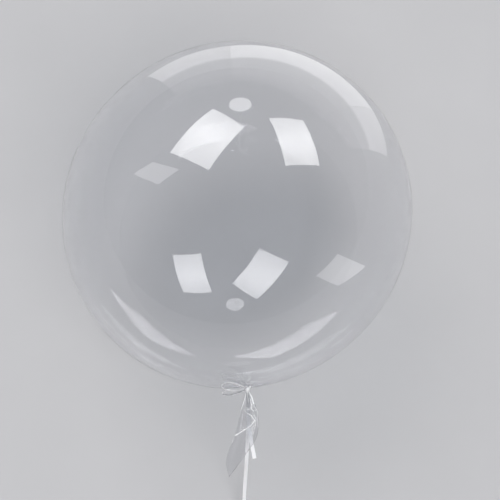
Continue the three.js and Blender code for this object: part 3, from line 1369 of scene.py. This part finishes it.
@dataclass
class Studio:
    """The camera, the pale floor and the soft lamps."""

    camera_place: tuple[float, float, float] = (-8.1 * MM, -463.5 * MM, 1664.7 * MM)
    camera_aim: tuple[float, float, float] = (14.7 * MM, -46.5 * MM, 223.1 * MM)
    lens: float = 77.51
    sensor_width: float = 36.0
    sight: tuple[float, float] = (0.05, 50.0)
    floor_size: float = 120.0
    horizon_grey: str = "#BBBBBD"
    overhead_grey: str = "#8C8C8E"
    overhead_from: float = 0.8
    broad_lights: tuple[BroadLight, ...] = (
        BroadLight("broad_back_light", (-0.35, 0.55, 1.0), 1.2),
        BroadLight("broad_front_light", (0.25, -0.65, 1.0), 2.2),
    )
    lamps: tuple[SoftBox, ...] = (
        SoftBox(
            "left_softbox", (-0.348, 0.828, 1.557), (-0.692, 0.511, -0.511), (0.56, 0.826, 0.068),
            (0.70, 0.98), mirrored=4.2, through_film=5.9, echo=2.6, fade=SOFTBOX_FADE,
        ),
        SoftBox(
            "right_softbox", (1.092, 0.887, 1.625), (-0.95, -0.147, 0.274), (-0.166, 0.985, -0.047),
            (0.765, 1.07), mirrored=4.2, through_film=5.9, echo=2.6, fade=SOFTBOX_FADE,
        ),
        SoftBox(
            "round_lamp", (0.128, 1.749, 1.616), (1.0, 0.0, 0.0), (0.0, -0.66, 0.75), (0.42, 0.42),
            mirrored=2.0, through_film=2.0, shape=LampShape.ROUND,
        ),
        SoftBox(
            "left_rim_reflector", (-0.179, 0.733, 0.30), (-1.0, 0.0, 0.0), (0.0, 0.0, -1.0), (0.36, 0.60),
            mirrored=0.8, fade=REFLECTOR_FADE,
        ),
        SoftBox(
            "right_rim_reflector", (0.25, 0.585, 0.30), (-0.86, 0.51, 0.0), (0.0, 0.0, -1.0),
            (0.58, 0.60), mirrored=1.1, fade=REFLECTOR_FADE,
        ),
        SoftBox(
            "far_rim_reflector", (0.70, 0.407, 0.30), (-0.99, 0.15, 0.0), (0.0, 0.0, -1.0),
            (0.40, 0.60), mirrored=0.9, fade=REFLECTOR_FADE,
        ),
        SoftBox(
            "left_panel", (-1.014, 0.365, 1.196), (-0.852, 0.498, -0.158), (0.095, 0.446, 0.89),
            (0.636, 0.416), mirrored=2.4,
        ),
        SoftBox(
            "right_panel", (1.18, -0.87, 0.36), (-0.508, -0.006, 0.861), (-0.34, 0.92, -0.194),
            (0.62, 0.70), mirrored=2.4,
        ),
    )

    def build_camera(self) -> None:
        """Sets the camera at the photograph's viewing angle."""
        camera = bpy.data.cameras.new("camera")
        camera.lens = self.lens
        camera.sensor_width = self.sensor_width
        camera.clip_start, camera.clip_end = self.sight
        made = bpy.data.objects.new("camera", camera)
        place = Vector(self.camera_place)
        made.location = place
        made.rotation_mode = "QUATERNION"
        made.rotation_quaternion = (Vector(self.camera_aim) - place).to_track_quat("-Z", "Y")
        bpy.context.scene.collection.objects.link(made)
        bpy.context.scene.camera = made

    def build_floor(self) -> None:
        """Lays the pale floor under the balloon."""
        half = self.floor_size / 2
        mesh = bpy.data.meshes.new("floor")
        corners = [(-half, -half, 0), (half, -half, 0), (half, half, 0), (-half, half, 0)]
        mesh.from_pydata(corners, [], [(0, 1, 2, 3)])
        mesh.materials.append(FloorFinish().build())
        new_object("floor", mesh)

    def build_lights(self) -> None:
        """Hangs the lamps and sets the pale surroundings and the render's light settings."""
        for lamp in (*self.broad_lights, *self.lamps):
            lamp.build()
        world = bpy.data.worlds.new("studio")
        world.use_nodes = True
        tree = world.node_tree
        tree.nodes.clear()
        way = add_node(tree, "ShaderNodeTexCoord")
        split = add_node(tree, "ShaderNodeSeparateXYZ", inputs={0: way.outputs["Generated"]})
        height = add_node(
            tree,
            "ShaderNodeMapRange",
            {"interpolation_type": "SMOOTHSTEP"},
            {"Value": split.outputs["Z"], "From Min": 0.0, "From Max": self.overhead_from},
        )
        colour = add_node(
            tree,
            "ShaderNodeMix",
            {"data_type": "RGBA"},
            {
                "Factor": height.outputs[0],
                6: linear(self.horizon_grey),
                7: linear(self.overhead_grey),
            },
        )
        glow = add_node(tree, "ShaderNodeBackground", inputs={"Color": colour.outputs[2]})
        add_node(tree, "ShaderNodeOutputWorld", inputs={"Surface": glow.outputs[0]})
        scene = bpy.context.scene
        scene.world = world
        scene.view_settings.view_transform = "Standard"
        cycles = scene.cycles
        cycles.max_bounces = 32
        cycles.transmission_bounces = 24
        cycles.glossy_bounces = 8
        cycles.diffuse_bounces = 8
        cycles.transparent_max_bounces = 32
        cycles.caustics_reflective = False
        cycles.caustics_refractive = False
        cycles.use_denoising = True
        cycles.denoiser = "OPENIMAGEDENOISE"
        cycles.denoising_input_passes = "RGB_ALBEDO_NORMAL"
        cycles.denoising_prefilter = "ACCURATE"


def main() -> None:
    """Builds the balloon's looks in order."""
    logging.basicConfig(level=logging.INFO, format="%(name)s: %(message)s")
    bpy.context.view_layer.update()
    studio = Studio()
    studio.build_camera()
    film = FilmBalloon()
    bubble = film.bubble
    ribbon = RibbonFinish().build()
    strip = RibbonStrip()
    RibbonEnds(bubble.tie_reach, bubble.centre_height, strip).build(ribbon)
    RibbonTie(bubble.tie_reach, bubble.centre_height, strip).build(ribbon)
    film.build(FilmFinish().build(), PaintedGlintFilmFinish().build())
    studio.build_floor()
    studio.build_lights()


if __name__ == "__main__":
    main()
